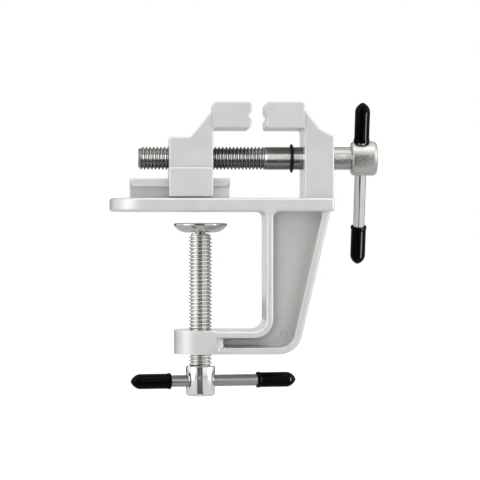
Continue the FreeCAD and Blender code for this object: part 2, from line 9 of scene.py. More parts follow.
import bmesh
import bpy
from bpy.props import FloatProperty, FloatVectorProperty, IntProperty, PointerProperty
from mathutils import Matrix, Vector

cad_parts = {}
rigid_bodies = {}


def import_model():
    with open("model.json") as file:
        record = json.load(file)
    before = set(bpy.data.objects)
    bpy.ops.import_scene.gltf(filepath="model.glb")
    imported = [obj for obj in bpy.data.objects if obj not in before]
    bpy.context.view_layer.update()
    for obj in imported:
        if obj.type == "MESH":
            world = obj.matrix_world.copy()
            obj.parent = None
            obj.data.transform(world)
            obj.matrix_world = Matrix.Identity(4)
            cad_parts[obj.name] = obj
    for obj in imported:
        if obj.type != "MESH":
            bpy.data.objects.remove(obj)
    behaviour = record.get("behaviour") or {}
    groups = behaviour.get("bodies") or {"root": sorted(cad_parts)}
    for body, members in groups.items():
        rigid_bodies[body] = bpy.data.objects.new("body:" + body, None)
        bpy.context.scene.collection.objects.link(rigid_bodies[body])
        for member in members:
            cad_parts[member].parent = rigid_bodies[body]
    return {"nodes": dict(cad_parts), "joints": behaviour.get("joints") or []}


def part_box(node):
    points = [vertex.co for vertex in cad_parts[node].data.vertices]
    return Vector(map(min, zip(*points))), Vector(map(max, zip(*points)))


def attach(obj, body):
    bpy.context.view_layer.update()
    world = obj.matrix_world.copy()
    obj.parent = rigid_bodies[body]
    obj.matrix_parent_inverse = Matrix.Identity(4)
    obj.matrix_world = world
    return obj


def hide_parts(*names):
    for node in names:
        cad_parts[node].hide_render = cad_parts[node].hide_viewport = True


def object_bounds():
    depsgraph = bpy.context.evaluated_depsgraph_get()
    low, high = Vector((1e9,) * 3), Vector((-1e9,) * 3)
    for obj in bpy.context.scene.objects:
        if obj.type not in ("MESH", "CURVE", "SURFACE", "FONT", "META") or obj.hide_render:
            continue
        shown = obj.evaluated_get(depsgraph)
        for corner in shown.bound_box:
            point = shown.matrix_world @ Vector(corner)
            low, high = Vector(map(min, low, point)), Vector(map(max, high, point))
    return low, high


bl_info = {
    "name": "Bench Vise Looks",
    "version": (1, 0, 0),
    "blender": (4, 5, 0),
    "location": "View3D > Sidebar > Vise",
    "description": "Makes the pieces and finishes of a clamp-on bench vise",
    "category": "Object",
}

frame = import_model()
cad_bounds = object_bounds()

MM = 0.001
WELD = 0.002 * MM  # points closer than this are one
JOINTS = {joint["name"]: joint for joint in frame["joints"]}


def linear(hex_colour):
    """An sRGB hex colour as linear RGB."""
    parts = [int(hex_colour[i:i + 2], 16) / 255 for i in (1, 3, 5)]
    return [p / 12.92 if p <= 0.04045 else ((p + 0.055) / 1.055) ** 2.4 for p in parts]


# ---- sizes and colours that a user would change ----

def length(name, description, millimetres):
    return FloatProperty(name=name, description=description, default=millimetres * MM,
                         min=0.0, unit="LENGTH", subtype="DISTANCE", precision=6)


def colour(name, description, hex_colour):
    return FloatVectorProperty(name=name, description=description, subtype="COLOR", size=3,
                               default=linear(hex_colour), min=0.0, max=1.0)


class ViseSizes(bpy.types.PropertyGroup):
    thread_pitch: length("Thread pitch", "Distance between two crests of the M8 threads", 1.25)
    thread_depth: length("Thread depth", "Height of the thread from root to crest", 0.62)
    thread_runout: length("Thread run-out", "Length over which the thread fades", 2.2)
    thread_length: length("Jaw thread length", "Threaded length of the jaw screw", 44.4)
    tip_bevel: length("Tip bevel", "Bevel at the first thread of each screw", 0.9)
    groove_depth: length("Ring groove", "Depth of the retaining ring's groove", 0.45)
    tenon_radius: length("Tenon radius", "Radius of the screw's end inside its hub", 3.0)
    tenon_length: length("Tenon length", "How far the shank's end stands in the hub", 0.5)
    jaw_hub_inner_round: length("Jaw hub, inner", "Rounding beside the jaw screw", 1.2)
    jaw_hub_outer_round: length("Jaw hub, outer", "Rounding at the jaw hub's free end", 1.5)
    clamp_hub_low_round: length("Clamp hub, low", "Rounding at the clamp hub's free end", 0.9)
    clamp_hub_high_round: length("Clamp hub, high", "Rounding beside the clamp screw", 0.45)
    hole_bevel: length("Cross hole bevel", "Bevel around the handle bar's hole", 0.3)
    running_gap: length("Running gap", "Gap around a bar or shaft in its hole", 0.08)
    neck_length: length("Neck", "Gap between the clamp pad and the clamp screw's thread", 0.4)
    neck_radius: length("Neck radius", "Radius of the button that holds the pad", 1.7)
    neck_reach: length("Neck reach", "How far the button goes into the pad", 1.0)
    pad_edge: length("Pad edge", "Height of the pad's upright rim", 0.9)
    pad_edge_round: length("Pad edge round", "Rounding of the pad's rim", 0.4)
    pad_belly_round: length("Pad belly round", "Rounding under the pad's rim", 0.35)
    pad_foot_radius: length("Pad foot radius", "Radius where the dish turns flat", 6.8)
    pad_foot_round: length("Pad foot round", "Rounding of the dish's foot", 5.0)
    pad_socket_radius: length("Pad socket radius", "Radius of the button's socket", 1.8)
    pad_socket_depth: length("Pad socket depth", "Depth of the button's socket", 0.9)
    bar_radius: length("Bar radius", "Radius of both handle bars", 2.0)
    bar_bevel: length("Bar bevel", "Rounding of the handle bars' ends", 0.4)
    cap_wall: length("Cap wall", "Thickness of a cap's wall", 0.6)
    cap_end: length("Cap end", "Solid length at a cap's tip", 2.0)
    cap_flare: length("Cap flare", "How far a cap's rim stands out", 0.2)
    cap_dome: length("Cap dome", "Length of a cap's rounded end", 3.4)
    rim_soft: length("Casting rims", "Softening of the castings' edges to the light", 0.3)
    sides: IntProperty(name="Sides", description="Facets around a turned piece",
                       default=96, min=12, max=256)


class ViseColours(bpy.types.PropertyGroup):
    casting: colour("Casting", "Blasted and clear-coated aluminium", "#DCDEDB")
    thread: colour("Thread", "Rolled plain steel", "#C4C3C0")
    nickel: colour("Nickel", "Bright nickel plate", "#F8F7F5")
    zinc: colour("Zinc", "Zinc plate on a turned hub", "#CFCECA")
    bar: colour("Bar", "Polished steel rod", "#FBFAF8")
    vinyl: colour("Vinyl", "Dip-moulded cap", "#030303")
    oxide: colour("Black oxide", "Blackened spring wire", "#151515")
    floor: colour("Floor", "Pale studio floor", "#F2F2F2")
    floor_shadow: colour("Floor shadow", "How strongly the floor takes a shadow", "#A0A0A0")
    card: colour("Card", "Dark felt that bright metal mirrors", "#656463")


# ---- meshes ----

def new_mesh_object(name, vertices, faces):
    """A mesh object with outward faces, its doubled points welded."""
    mesh = bpy.data.meshes.new(name)
    mesh.from_pydata([tuple(v) for v in vertices], [], faces)
    shell = bmesh.new()
    shell.from_mesh(mesh)
    bmesh.ops.remove_doubles(shell, verts=shell.verts, dist=1e-7)
    bmesh.ops.recalc_face_normals(shell, faces=shell.faces)
    shell.to_mesh(mesh)
    shell.free()
    piece = bpy.data.objects.new(name, mesh)
    bpy.context.scene.collection.objects.link(piece)
    return piece


def smooth_by_angle(piece, degrees=35, ends=None):
    """Smooth shading that keeps edges sharper than the angle, and the edges of the
    flat ends that stand square to an axis."""
    mesh = piece.data
    mesh.polygons.foreach_set("use_smooth", [True] * len(mesh.polygons))
    mesh.set_sharp_from_angle(angle=math.radians(degrees))
    if ends:
        for polygon in mesh.polygons:
            if abs(polygon.normal.dot(Vector(ends))) > 0.999:
                for loop in polygon.loop_indices:
                    mesh.edges[mesh.loops[loop].edge_index].use_edge_sharp = True
    mesh.update()


def joined(name, pieces):
    """Several mesh objects as one, under a new name."""
    shell = bmesh.new()
    for piece in pieces:
        shell.from_mesh(piece.data)
        bpy.data.objects.remove(piece)
    mesh = bpy.data.meshes.new(name)
    shell.to_mesh(mesh)
    shell.free()
    result = bpy.data.objects.new(name, mesh)
    bpy.context.scene.collection.objects.link(result)
    return result


def applied(piece):
    """The piece with its modifiers turned into plain mesh."""
    graph = bpy.context.evaluated_depsgraph_get()
    graph.update()
    mesh = bpy.data.meshes.new_from_object(piece.evaluated_get(graph))
    piece.modifiers.clear()
    mesh.name = piece.name
    piece.data = mesh
    return piece


def arc_points(before, corner, after, radius, steps):
    """Points of the arc that rounds a corner between two others."""
    corner = Vector(corner)
    back = (Vector(before) - corner)
    ahead = (Vector(after) - corner)
    half = back.angle(ahead) / 2
    radius = min(radius, 0.98 * math.tan(half) * min(back.length, ahead.length))
    back.normalize()
    ahead.normalize()
    centre = corner + (back + ahead).normalized() * (radius / math.sin(half))
    first = corner + back * (radius / math.tan(half)) - centre
    last = corner + ahead * (radius / math.tan(half)) - centre
    sweep = first.angle_signed(last)
    return [centre + Matrix.Rotation(-sweep * i / steps, 2) @ first for i in range(steps + 1)]


def rounded(corners, steps=6):
    """An open profile from (along, radius[, rounding]) corners, rounded where asked."""
    points = []
    for i, corner in enumerate(corners):
        if len(corner) == 3:
            points += arc_points(corners[i - 1][:2], corner[:2], corners[i + 1][:2],
                                 corner[2], steps)
        else:
            points.append(Vector(corner))
    return points


def axis_matrix(origin, direction):
    """Places a turned piece: its own Z runs along the direction, from the origin."""
    turn = Vector(direction).normalized().to_track_quat("Z", "Y").to_matrix().to_4x4()
    return Matrix.Translation(Vector(origin)) @ turn


def lathe(name, profile, place, sides):
    """A profile of (along, radius) points turned about the local Z axis, then placed.
    It starts and ends on the axis."""
    vertices = []
    for along, radius in profile:
        for k in range(sides):
            angle = 2 * math.pi * k / sides
            point = Vector((radius * math.cos(angle), radius * math.sin(angle), along))
            vertices.append(place @ point)
    faces = []
    for row in range(len(profile) - 1):
        after = row + 1
        for k in range(sides):
            turn = (k + 1) % sides
            faces.append((row * sides + k, row * sides + turn,
                          after * sides + turn, after * sides + k))
    return new_mesh_object(name, vertices, faces)


def drilled(piece, cutter):
    """The piece with the cutter's volume taken out."""
    cut = piece.modifiers.new("cross_hole", "BOOLEAN")
    cut.operation = "DIFFERENCE"
    cut.solver = "EXACT"
    cut.object = cutter
    applied(piece)
    bpy.data.objects.remove(cutter)
    return piece


def span(node, origin, direction):
    """Lowest and highest reach of a CAD node along a direction, from an origin."""
    direction = Vector(direction).normalized()
    reach = [(v.co - Vector(origin)).dot(direction) for v in frame["nodes"][node].data.vertices]
    return min(reach), max(reach)


def box_centre(node):
    low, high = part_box(node)
    return (low + high) / 2


def box_radius(node, axis):
    """Half of a round node's width, across its axis."""
    low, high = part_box(node)
    across = "yz" if axis == "x" else "xy"
    return max(getattr(high, a) - getattr(low, a) for a in across) / 2


# ---- nodes ----

def add(tree, kind, links=(), **settings):
    """Adds a node with its settings, its values and the sockets linked to it."""
    made = tree.nodes.new(kind)
    for key, value in settings.items():
        setattr(made, key, value)
    for key, value in dict(links).items():
        if isinstance(value, bpy.types.NodeSocket):
            tree.links.new(value, made.inputs[key])
        else:
            made.inputs[key].default_value = value
    return made


def add_steps(tree, known, steps):
    """Adds a chain of sums. A step has the name of its result, its operation and its
    inputs, which are numbers or the names of what is known by then."""
    for name, operation, *inputs in steps:
        links = {i: known[value] if isinstance(value, str) else value
                 for i, value in enumerate(inputs)}
        known[name] = add(tree, "ShaderNodeMath", links, operation=operation).outputs[0]


# ---- the screw thread, as Geometry Nodes ----

THREAD_SIDES = 64
THREAD_ROWS = 14  # rows of the grid in one turn of the thread


def thread_tree():
    """A threaded rod along Z, welded from a grid whose rows follow the helix."""
    tree = bpy.data.node_groups.new("Screw Thread", "GeometryNodeTree")
    face = tree.interface
    face.new_socket("Geometry", in_out="OUTPUT", socket_type="NodeSocketGeometry")
    for name, kind in (("Length", "Float"), ("Radius", "Float"), ("Pitch", "Float"),
                       ("Depth", "Float"), ("Bevel", "Float"), ("Run-out", "Float"),
                       ("Sides", "Int"), ("Rows per turn", "Int"), ("Rows", "Int"),
                       ("Material", "Material")):
        face.new_socket(name, in_out="INPUT", socket_type=f"NodeSocket{kind}")
    known = {socket.name: socket for socket in add(tree, "NodeGroupInput").outputs}

    # The grid has one column more than sides and one row more than rows.
    add_steps(tree, known, (("columns", "ADD", "Sides", 1.0), ("lines", "ADD", "Rows", 1.0)))
    grid = add(tree, "GeometryNodeMeshGrid", {
        "Size X": 1.0, "Size Y": 1.0,
        "Vertices X": known["columns"], "Vertices Y": known["lines"]})
    place = add(tree, "ShaderNodeSeparateXYZ", {
        0: add(tree, "GeometryNodeInputPosition").outputs[0]})
    known["x"] = place.outputs["X"]
    known["y"] = place.outputs["Y"]

    # Each row climbs by the pitch in one turn and stays within the rod.
    add_steps(tree, known, (
        ("around", "ADD", "x", 0.5),
        ("up", "ADD", "y", 0.5),
        ("exact row", "MULTIPLY", "up", "Rows"),
        ("row", "ROUND", "exact row"),
        ("row turns", "DIVIDE", "row", "Rows per turn"),
        ("turns so far", "SUBTRACT", "row turns", 1.0),
        ("turns", "ADD", "turns so far", "around"),
        ("climb", "MULTIPLY", "turns", "Pitch"),
        ("risen", "MAXIMUM", 0.0, "climb"),
        ("height", "MINIMUM", "Length", "risen"),
    ))

    # The profile is a wave with flat crests and roots.
    add_steps(tree, known, (
        ("phase", "FRACT", "row turns"),
        ("phase angle", "MULTIPLY", "phase", math.tau),
        ("cosine", "COSINE", "phase angle"),
        ("half wave", "MULTIPLY", 0.5, "cosine"),
        ("wave", "ADD", 0.5, "half wave"),
        ("fade start", "SUBTRACT", "Length", "Run-out"),
    ))
    known["crest"] = add(tree, "ShaderNodeMapRange", {
        "Value": known["wave"], "From Min": 0.14, "From Max": 0.86,
    }, interpolation_type="SMOOTHSTEP").outputs["Result"]
    known["fade"] = add(tree, "ShaderNodeMapRange", {
        "Value": known["height"], "From Min": known["fade start"],
        "From Max": known["Length"], "To Min": 1.0, "To Max": 0.0,
    }, interpolation_type="SMOOTHSTEP").outputs["Result"]

    # The first and last rows are drawn to the axis, which closes the ends, all but one
    # narrow triangle on the tip, where the helix starts.
    add_steps(tree, known, (
        ("below crest", "SUBTRACT", 1.0, "crest"),
        ("valley", "MULTIPLY", "Depth", "below crest"),
        ("faded valley", "MULTIPLY", "valley", "fade"),
        ("threaded", "SUBTRACT", "Radius", "faded valley"),
        ("tip radius", "SUBTRACT", "Radius", "Bevel"),
        ("tip", "ADD", "tip radius", "height"),
        ("bevelled", "MINIMUM", "threaded", "tip"),
        ("past first", "GREATER_THAN", "row", 0.5),
        ("last row", "SUBTRACT", "Rows", 0.5),
        ("before last", "LESS_THAN", "row", "last row"),
        ("inside", "MULTIPLY", "past first", "before last"),
        ("radius", "MULTIPLY", "bevelled", "inside"),
        ("angle", "MULTIPLY", "around", math.tau),
        ("angle cosine", "COSINE", "angle"),
        ("angle sine", "SINE", "angle"),
        ("across", "MULTIPLY", "radius", "angle cosine"),
        ("along", "MULTIPLY", "radius", "angle sine"),
    ))
    moved = add(tree, "ShaderNodeCombineXYZ", {
        "X": known["across"], "Y": known["along"], "Z": known["height"]})
    rod = add(tree, "GeometryNodeSetPosition", {
        "Geometry": grid.outputs["Mesh"], "Position": moved.outputs[0]})
    welded = add(tree, "GeometryNodeMergeByDistance", {
        "Geometry": rod.outputs[0], "Distance": WELD})
    real = add(tree, "GeometryNodeRealizeInstances", {0: welded.outputs[0]})
    coated = add(tree, "GeometryNodeSetMaterial", {
        "Geometry": real.outputs[0], "Material": known["Material"]})
    add(tree, "NodeGroupOutput", {0: coated.outputs[0]})
    return tree


def threaded_rod(name, place, rod_length, radius, runout, material):
    """A threaded rod made by the tree, as a plain mesh in its place."""
    sizes = bpy.context.scene.vise_sizes
    turns = math.ceil(rod_length / sizes.thread_pitch) + 2
    tree = bpy.data.node_groups.get("Screw Thread") or thread_tree()
    carrier = bpy.data.objects.new(name, bpy.data.meshes.new(name))
    bpy.context.scene.collection.objects.link(carrier)
    modifier = carrier.modifiers.new("thread", "NODES")
    modifier.node_group = tree
    values = {
        "Length": rod_length, "Radius": radius, "Pitch": sizes.thread_pitch,
        "Depth": sizes.thread_depth, "Bevel": sizes.tip_bevel, "Run-out": runout,
        "Sides": THREAD_SIDES, "Rows per turn": THREAD_ROWS, "Rows": THREAD_ROWS * turns,
        "Material": material,
    }
    for item in tree.interface.items_tree:
        if item.in_out == "INPUT":
            modifier[item.identifier] = values[item.name]
    applied(carrier)
    carrier.data.transform(place)
    shell = bmesh.new()
    shell.from_mesh(carrier.data)
    bmesh.ops.dissolve_degenerate(shell, edges=shell.edges, dist=1e-7)
    bmesh.ops.recalc_face_normals(shell, faces=shell.faces)
    shell.to_mesh(carrier.data)
    shell.free()
    return carrier


# ---- materials ----

# Noise stays near its middle: this is the part of its range that it fills.
NOISE_FILLS = {"From Min": 0.3, "From Max": 0.7}
NOISE_ROUGHNESS = 0.55
STAIN_WIDTH = 4 * MM
SHADED_TO = 33 * MM  # along X: just before the upright; up to here the screw gets more painted shade
EJECTOR_PIN = (28.7 * MM, 0, -42.1 * MM)  # the middle of its mark, on the web


def new_material(name, base, **shader):
    """A Principled material, its values set on the shader's own sockets."""
    material = bpy.data.materials.new(name)
    material.use_nodes = True
    tree = material.node_tree
    principled = tree.nodes["Principled BSDF"]
    principled.inputs["Base Color"].default_value = (*base, 1)
    for key, value in shader.items():
        principled.inputs[key.replace("_", " ")].default_value = value
    where = add(tree, "ShaderNodeTexCoord").outputs["Object"]
    return material, tree, principled, where


def shade(base, factor):
    """A colour made darker or lighter, with its alpha."""
    return (*[min(1.0, c * factor) for c in base], 1)


def casting_material(colours):
    """Die-cast aluminium, bead blasted, then clear coated. The blasting leaves an even
    grain that keeps the metal satin. Painted shade darkens the recesses, and a painted
    highlight lightens the rims. The grain is coarser than the real one, to show."""
    base = colours.casting
    grain_width, flow_width = 0.35 * MM, 9 * MM
    material, tree, principled, where = new_material(
        "die_cast_aluminium_blasted", base, Metallic=0.3, Roughness=0.42,
        Coat_Weight=0.6, Coat_Roughness=0.14)
    flow = add(tree, "ShaderNodeTexNoise", {
        "Vector": where, "Scale": 1 / flow_width, "Detail": 4.0,
        "Roughness": NOISE_ROUGHNESS}).outputs["Fac"]
    grain = add(tree, "ShaderNodeTexNoise", {
        "Vector": where, "Scale": 1 / grain_width, "Detail": 2.0,
        "Roughness": NOISE_ROUGHNESS}).outputs["Fac"]

    clouds = add(tree, "ShaderNodeMapRange", {"Value": flow, **NOISE_FILLS}).outputs["Result"]
    open_metal = add(tree, "ShaderNodeMix", {
        0: clouds, 6: shade(base, 0.97), 7: shade(base, 1.03)}, data_type="RGBA").outputs[2]
    # Painted shade: the recesses are darkened by how much of the surroundings they hide.
    open_air = add(tree, "ShaderNodeAmbientOcclusion", {
        "Distance": 5 * MM}, samples=8).outputs["AO"]
    painted_recess_shade = add(tree, "ShaderNodeMix", {
        0: open_air, 6: shade(base, 0.64), 7: open_metal}, data_type="RGBA").outputs[2]
    # Painted highlight: the rims are lightened where the solid grows thin inside them.
    within = add(tree, "ShaderNodeAmbientOcclusion", {
        "Distance": 0.6 * MM}, samples=8, inside=True).outputs["AO"]
    rim = add(tree, "ShaderNodeMapRange", {
        "Value": within, "From Min": 0.82, "From Max": 0.5}).outputs["Result"]
    painted_shade_and_rim_highlight = add(tree, "ShaderNodeMix", {
        0: rim, 6: painted_recess_shade, 7: shade(base, 1.3)}, data_type="RGBA").outputs[2]
    satin = add(tree, "ShaderNodeMapRange", {
        "Value": flow, **NOISE_FILLS, "To Min": 0.38, "To Max": 0.46}).outputs["Result"]

    # The relief, from the softened rims down: an ejector pin's mark, grain, flow.
    soft_rims = add(tree, "ShaderNodeBevel", {
        "Radius": bpy.context.scene.vise_sizes.rim_soft}, samples=6).outputs["Normal"]
    flat = add(tree, "ShaderNodeVectorMath", {0: where, 1: (1, 0, 1)}, operation="MULTIPLY")
    from_pin = add(tree, "ShaderNodeVectorMath", {
        0: flat.outputs[0], 1: EJECTOR_PIN}, operation="DISTANCE").outputs["Value"]
    pin_mark = add(tree, "ShaderNodeMapRange", {
        "Value": from_pin, "From Min": 0.9 * MM, "From Max": 1.15 * MM,
    }, interpolation_type="SMOOTHSTEP").outputs["Result"]
    normal = soft_rims
    for height, distance, strength in ((pin_mark, 0.3 * MM, 1.0), (grain, 0.02 * MM, 0.3),
                                       (flow, 0.06 * MM, 0.2)):
        normal = add(tree, "ShaderNodeBump", {
            "Height": height, "Distance": distance, "Strength": strength,
            "Normal": normal}).outputs["Normal"]

    tree.links.new(painted_shade_and_rim_highlight, principled.inputs["Base Color"])
    tree.links.new(satin, principled.inputs["Roughness"])
    tree.links.new(normal, principled.inputs["Normal"])
    return material


def bare_metal(name, base, roughness, spread, mark, stretch, depth, root, shaded_to=None):
    """A metal with fine marks that run as the tool or the die left them, each as wide as
    the mark and as deep as the depth, and with painted shade: darker down to the root's
    share in hollows, and darker up to a place along X than past it."""
    material, tree, principled, where = new_material(name, base, Metallic=1.0,
                                                     Roughness=roughness)
    run = add(tree, "ShaderNodeMapping", {"Vector": where, "Scale": stretch}).outputs[0]
    marks = add(tree, "ShaderNodeTexNoise", {
        "Vector": run, "Scale": 1 / mark, "Detail": 3.0,
        "Roughness": NOISE_ROUGHNESS}).outputs["Fac"]
    stains = add(tree, "ShaderNodeTexNoise", {
        "Vector": where, "Scale": 1 / STAIN_WIDTH, "Detail": 2.0,
        "Roughness": NOISE_ROUGHNESS}).outputs["Fac"]

    clouds = add(tree, "ShaderNodeMapRange", {"Value": stains, **NOISE_FILLS}).outputs["Result"]
    open_metal = add(tree, "ShaderNodeMix", {
        0: clouds, 6: shade(base, 0.93), 7: shade(base, 1.05)}, data_type="RGBA").outputs[2]
    # Painted shade: hollows are darkened down to the root's share.
    hollow = add(tree, "ShaderNodeAmbientOcclusion", {
        "Distance": 0.8 * MM}, samples=8).outputs["AO"]
    open_air = add(tree, "ShaderNodeMapRange", {
        "Value": hollow, "From Min": 0.35, "From Max": 0.8}).outputs["Result"]
    seen = add(tree, "ShaderNodeMix", {
        0: open_air, 6: shade(base, root), 7: open_metal}, data_type="RGBA").outputs[2]
    # Painted shade: darker up to a place along X, lighter past it.
    if shaded_to is not None:
        along = add(tree, "ShaderNodeSeparateXYZ", {0: where}).outputs["X"]
        shade_along_x = add(tree, "ShaderNodeMapRange", {
            "Value": along, "From Min": shaded_to, "From Max": shaded_to + 6 * MM,
            "To Min": 0.5, "To Max": 0.8}).outputs["Result"]
        seen = add(tree, "ShaderNodeHueSaturation", {
            "Value": shade_along_x, "Color": seen}).outputs["Color"]
    polish = add(tree, "ShaderNodeMapRange", {
        "Value": marks, **NOISE_FILLS, "To Min": roughness - spread,
        "To Max": roughness + spread}).outputs["Result"]
    relief = add(tree, "ShaderNodeBump", {
        "Height": marks, "Distance": depth, "Strength": 0.4}).outputs["Normal"]

    tree.links.new(seen, principled.inputs["Base Color"])
    tree.links.new(polish, principled.inputs["Roughness"])
    tree.links.new(relief, principled.inputs["Normal"])
    return material


def metals(colours):
    """The bare and the plated metals, each with the marks of its own making."""
    # Plain steel, thread rolled: marks along the rod, painted shade in the roots, and
    # more painted shade up to the upright.
    bare_metal("rolled_thread_steel", colours.thread, 0.24, 0.05, 0.5 * MM, (0.2, 1, 1),
               0.003 * MM, root=0.3, shaded_to=SHADED_TO)
    # Bright nickel plate: near a mirror, with painted shade in the thread's hollows and where the
    # hub meets it.
    bare_metal("bright_nickel_plate", colours.nickel, 0.1, 0.04, 0.8 * MM, (1, 1, 0.2),
               0.002 * MM, root=0.3)
    # Pressed steel, nickel plated: the same shine, greyer from the press.
    bare_metal("pressed_nickel_dish", [c * 0.7 for c in colours.nickel], 0.12, 0.05, 0.8 * MM,
               (1, 1, 1), 0.004 * MM, root=0.4)
    # Zinc plate over a rough turned hub: a mottled skin that scatters the light.
    bare_metal("zinc_plated_hub", colours.zinc, 0.33, 0.12, 0.55 * MM, (0.7, 1, 1),
               0.12 * MM, root=0.5)
    # Steel rod, polished: bright, with sharp reflections.
    bare_metal("polished_steel_rod", colours.bar, 0.12, 0.05, 0.6 * MM, (1, 1, 1),
               0.002 * MM, root=0.5)
    # Steel rod as drawn: darker, with streaks along it.
    bare_metal("drawn_steel_rod", [c * 0.42 for c in colours.bar], 0.2, 0.07, 0.4 * MM,
               (0.1, 1, 1), 0.006 * MM, root=0.5)


def vinyl_material(colours):
    """Dip-moulded vinyl: black and glossy, with the slight waves of a dipped skin."""
    base = colours.vinyl
    material, tree, principled, where = new_material(
        "dip_moulded_vinyl", base, Roughness=0.12, Specular_IOR_Level=0.06)
    waves = add(tree, "ShaderNodeTexNoise", {
        "Vector": where, "Scale": 1 / (2.5 * MM), "Detail": 2.0,
        "Roughness": NOISE_ROUGHNESS}).outputs["Fac"]
    grain = add(tree, "ShaderNodeTexNoise", {
        "Vector": where, "Scale": 1 / (0.4 * MM), "Detail": 2.0,
        "Roughness": NOISE_ROUGHNESS}).outputs["Fac"]
    clouds = add(tree, "ShaderNodeMapRange", {"Value": waves, **NOISE_FILLS}).outputs["Result"]
    skin = add(tree, "ShaderNodeMix", {
        0: clouds, 6: shade(base, 0.8), 7: shade(base, 1.3)}, data_type="RGBA").outputs[2]
    gloss = add(tree, "ShaderNodeMapRange", {
        "Value": grain, **NOISE_FILLS, "To Min": 0.1, "To Max": 0.16}).outputs["Result"]
    relief = add(tree, "ShaderNodeBump", {
        "Height": waves, "Distance": 0.05 * MM, "Strength": 0.3}).outputs["Normal"]
    tree.links.new(skin, principled.inputs["Base Color"])
    tree.links.new(gloss, principled.inputs["Roughness"])
    tree.links.new(relief, principled.inputs["Normal"])
    return material


def oxide_material(colours):
    """Black-oxide spring wire: matte, faintly mottled."""
    base = colours.oxide
    material, tree, principled, where = new_material(
        "black_oxide_wire", base, Metallic=0.5, Roughness=0.5)
    mottle = add(tree, "ShaderNodeTexNoise", {
        "Vector": where, "Scale": 1 / (0.6 * MM), "Detail": 3.0,
        "Roughness": NOISE_ROUGHNESS}).outputs["Fac"]
    clouds = add(tree, "ShaderNodeMapRange", {"Value": mottle, **NOISE_FILLS}).outputs["Result"]
    skin = add(tree, "ShaderNodeMix", {
        0: clouds, 6: shade(base, 0.6), 7: shade(base, 1.5)}, data_type="RGBA").outputs[2]
    matte = add(tree, "ShaderNodeMapRange", {
        "Value": mottle, **NOISE_FILLS, "To Min": 0.42, "To Max": 0.6}).outputs["Result"]
    tree.links.new(skin, principled.inputs["Base Color"])
    tree.links.new(matte, principled.inputs["Roughness"])
    return material


def materials():
    """Every finish, made once."""
    if "die_cast_aluminium_blasted" not in bpy.data.materials:
        colours = bpy.context.scene.vise_colours
        casting_material(colours)
        metals(colours)
        vinyl_material(colours)
        oxide_material(colours)
    return bpy.data.materials


def finish_piece(piece, material, slot, body, *nodes):
    """Gives a finished piece its material and its body, and hides the CAD nodes it stands for."""
    piece.data.materials.clear()
    piece.data.materials.append(materials()[material])
    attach(piece, body)
    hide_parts(*nodes)
    return piece


# ---- the pieces ----

OVERLAP = 0.05 * MM  # how far two shells of one piece run into each other
NO_RUNOUT = 0.01 * MM  # a thread that runs on into the hub
THREAD_SHARP = 62  # degrees: past the flanks' own angle, so that they shade smooth
CAST_SHARP = 24  # degrees
CAP_SHARP = 50
RING_SHARP = 60
BAR_SIDES = 64
NECK_SIDES = 48
BAR_ARC_STEPS = 4
HUB_ARC_STEPS = 8
DOME_STEPS = 16
DOME_POINT = 1.5  # past 1, a cap's dome is more pointed than an ellipse
CAP_LEAD_IN = 1.0 * MM  # over which a cap's bore widens to its mouth
CAP_MOUTH_ROUND = 0.05 * MM
CAP_LIP = 0.5 * MM  # length of the rim that stands out at a cap's mouth
CAP_LIP_ROUND = 0.2 * MM
CAP_SLOPE_END = 1.3 * MM  # where the rim has run out into the cap's side
CAP_SLOPE_ROUND = 1.0 * MM
CAP_STRAIGHT = 0.5 * MM  # a cap's last straight stretch before its dome


def casting_copy(node, name):
    """A CAD casting's own shape, welded and shaded smooth, its larger faces kept flat."""
    shell = bmesh.new()
    shell.from_mesh(frame["nodes"][node].data)
    bmesh.ops.remove_doubles(shell, verts=shell.verts, dist=WELD)
    bmesh.ops.recalc_face_normals(shell, faces=shell.faces)
    mesh = bpy.data.meshes.new(name)
    shell.to_mesh(mesh)
    shell.free()
    piece = bpy.data.objects.new(name, mesh)
    bpy.context.scene.collection.objects.link(piece)
    smooth_by_angle(piece, CAST_SHARP)
    weighted = piece.modifiers.new("normals", "WEIGHTED_NORMAL")
    weighted.keep_sharp = True
    return applied(piece)


class VISE_OT_castings(bpy.types.Operator):
    """Makes the frame casting and the moving jaw"""
    bl_idname = "vise.castings"
    bl_label = "Castings"

    def execute(self, context):
        body = casting_copy("frame_casting", "frame_body")
        finish_piece(body, "die_cast_aluminium_blasted", "cast_alloy", "frame", "frame_casting")
        jaw = casting_copy("moving_jaw", "sliding_jaw")
        finish_piece(jaw, "die_cast_aluminium_blasted", "cast_alloy", "moving_jaw", "moving_jaw")
        return {"FINISHED"}


def cross_cutter(hub_radius, handle_origin, handle_axis):
    """The shape that the handle bar's hole takes out of a hub, with bevelled mouths."""
    sizes = bpy.context.scene.vise_sizes
    radius = sizes.bar_radius + sizes.running_gap
    mouth = hub_radius - sizes.hole_bevel
    wide = 4 * sizes.hole_bevel
    profile = [(-mouth - wide, 0), (-mouth - wide, radius + wide), (-mouth, radius),
               (mouth, radius), (mouth + wide, radius + wide), (mouth + wide, 0)]
    return lathe("cutter", profile, axis_matrix(handle_origin, handle_axis), BAR_SIDES)


